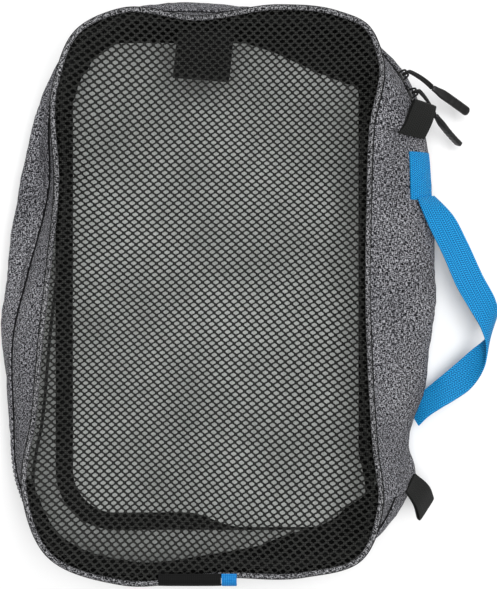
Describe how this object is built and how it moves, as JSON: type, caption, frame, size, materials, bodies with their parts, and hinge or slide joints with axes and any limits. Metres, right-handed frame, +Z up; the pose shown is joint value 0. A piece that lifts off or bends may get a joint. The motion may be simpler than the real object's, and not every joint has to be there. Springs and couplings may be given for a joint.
{
  "type": "packing cube",
  "caption": "Soft rectangular packing cube with a zipped mesh lid, fabric gusset walls, webbing tabs and a side carry handle.",
  "frame": {"origin": "centre of the floor panel's underside, where the cube stands", "axes": "+Z up towards the mesh lid, +Y along the cube's length away from the lower zip end, +X towards the handle side"},
  "size_m": [0.3555, 0.4065, 0.0857],
  "materials": {
    "floor_fabric": "light grey ripstop",
    "binding_tape": "black grosgrain tape",
    "heather_fabric": "heather grey woven polyester",
    "zip_tape": "dark grey smooth zip tape",
    "zip_coil": "black nylon",
    "black_metal": "black painted die casting",
    "pull_cord": "black braided cord",
    "pull_grip": "black moulded rubber",
    "black_webbing": "black woven webbing",
    "mesh_net": "black honeycomb mesh",
    "piping": "grey melange piping",
    "blue_webbing": "blue woven webbing",
    "blue_thread": "blue polyester thread",
    "label_fabric": "black woven label",
    "label_blue": "blue woven label"
  },
  "bodies": {
    "base": {"base_panel": "floor_fabric", "base_binding": "binding_tape", "lower_gusset": "heather_fabric", "hinge_gusset": "heather_fabric", "zip_tape_lower": "zip_tape", "zip_coil_lower": "zip_coil", "zip_end_stops": "zip_coil", "zip_tab_top": "black_webbing", "zip_tab_bottom": "black_webbing", "handle_end_top": "blue_webbing", "handle_end_bottom": "blue_webbing", "handle_stitching": "blue_thread", "handle_patch_top": "binding_tape", "handle_patch_bottom": "binding_tape"},
    "lid": {"upper_gusset": "heather_fabric", "zip_tape_upper": "zip_tape", "zip_coil_upper": "zip_coil", "lid_mesh": "mesh_net", "lid_piping": "piping", "lid_binding": "binding_tape", "inner_label": "label_fabric", "edge_label": "label_fabric", "edge_label_end": "label_blue"},
    "slider_a": {"slider_a": "black_metal"},
    "slider_b": {"slider_b": "black_metal"},
    "pull_a": {"pull_cord_a": "pull_cord", "pull_grip_a": "pull_grip"},
    "pull_b": {"pull_cord_b": "pull_cord", "pull_grip_b": "pull_grip"},
    "handle": {"carry_handle": "blue_webbing"}
  },
  "joints": [
    {"name": "lid_hinge", "type": "hinge", "parent": "base", "child": "lid", "pos_m": [0.111, 0, 0.082], "axis": [0, 1, 0], "range_deg": [0, 120]},
    {"name": "slider_a_run", "type": "hinge", "parent": "base", "child": "slider_a", "pos_m": [0.058, 0.095, 0.048], "axis": [0, 0, 1], "range_deg": [0, 38]},
    {"name": "slider_b_run", "type": "hinge", "parent": "base", "child": "slider_b", "pos_m": [0.058, 0.095, 0.048], "axis": [0, 0, 1], "range_deg": [0, 2.2]},
    {"name": "pull_a_swing", "type": "hinge", "parent": "slider_a", "child": "pull_a", "pos_m": [0.13534, 0.14333, 0.05042], "axis": [-0.5299, 0.848, 0], "range_deg": [-110, 0]},
    {"name": "pull_b_swing", "type": "hinge", "parent": "slider_b", "child": "pull_b", "pos_m": [0.14214, 0.1302, 0.05042], "axis": [-0.3859, 0.9225, 0], "range_deg": [-110, 0]},
    {"name": "handle_swing", "type": "hinge", "parent": "base", "child": "handle", "pos_m": [0.143, 0.052, 0.0615], "axis": [-0.058, 0.9769, 0.2057], "range_deg": [-75, 0]}
  ]
}
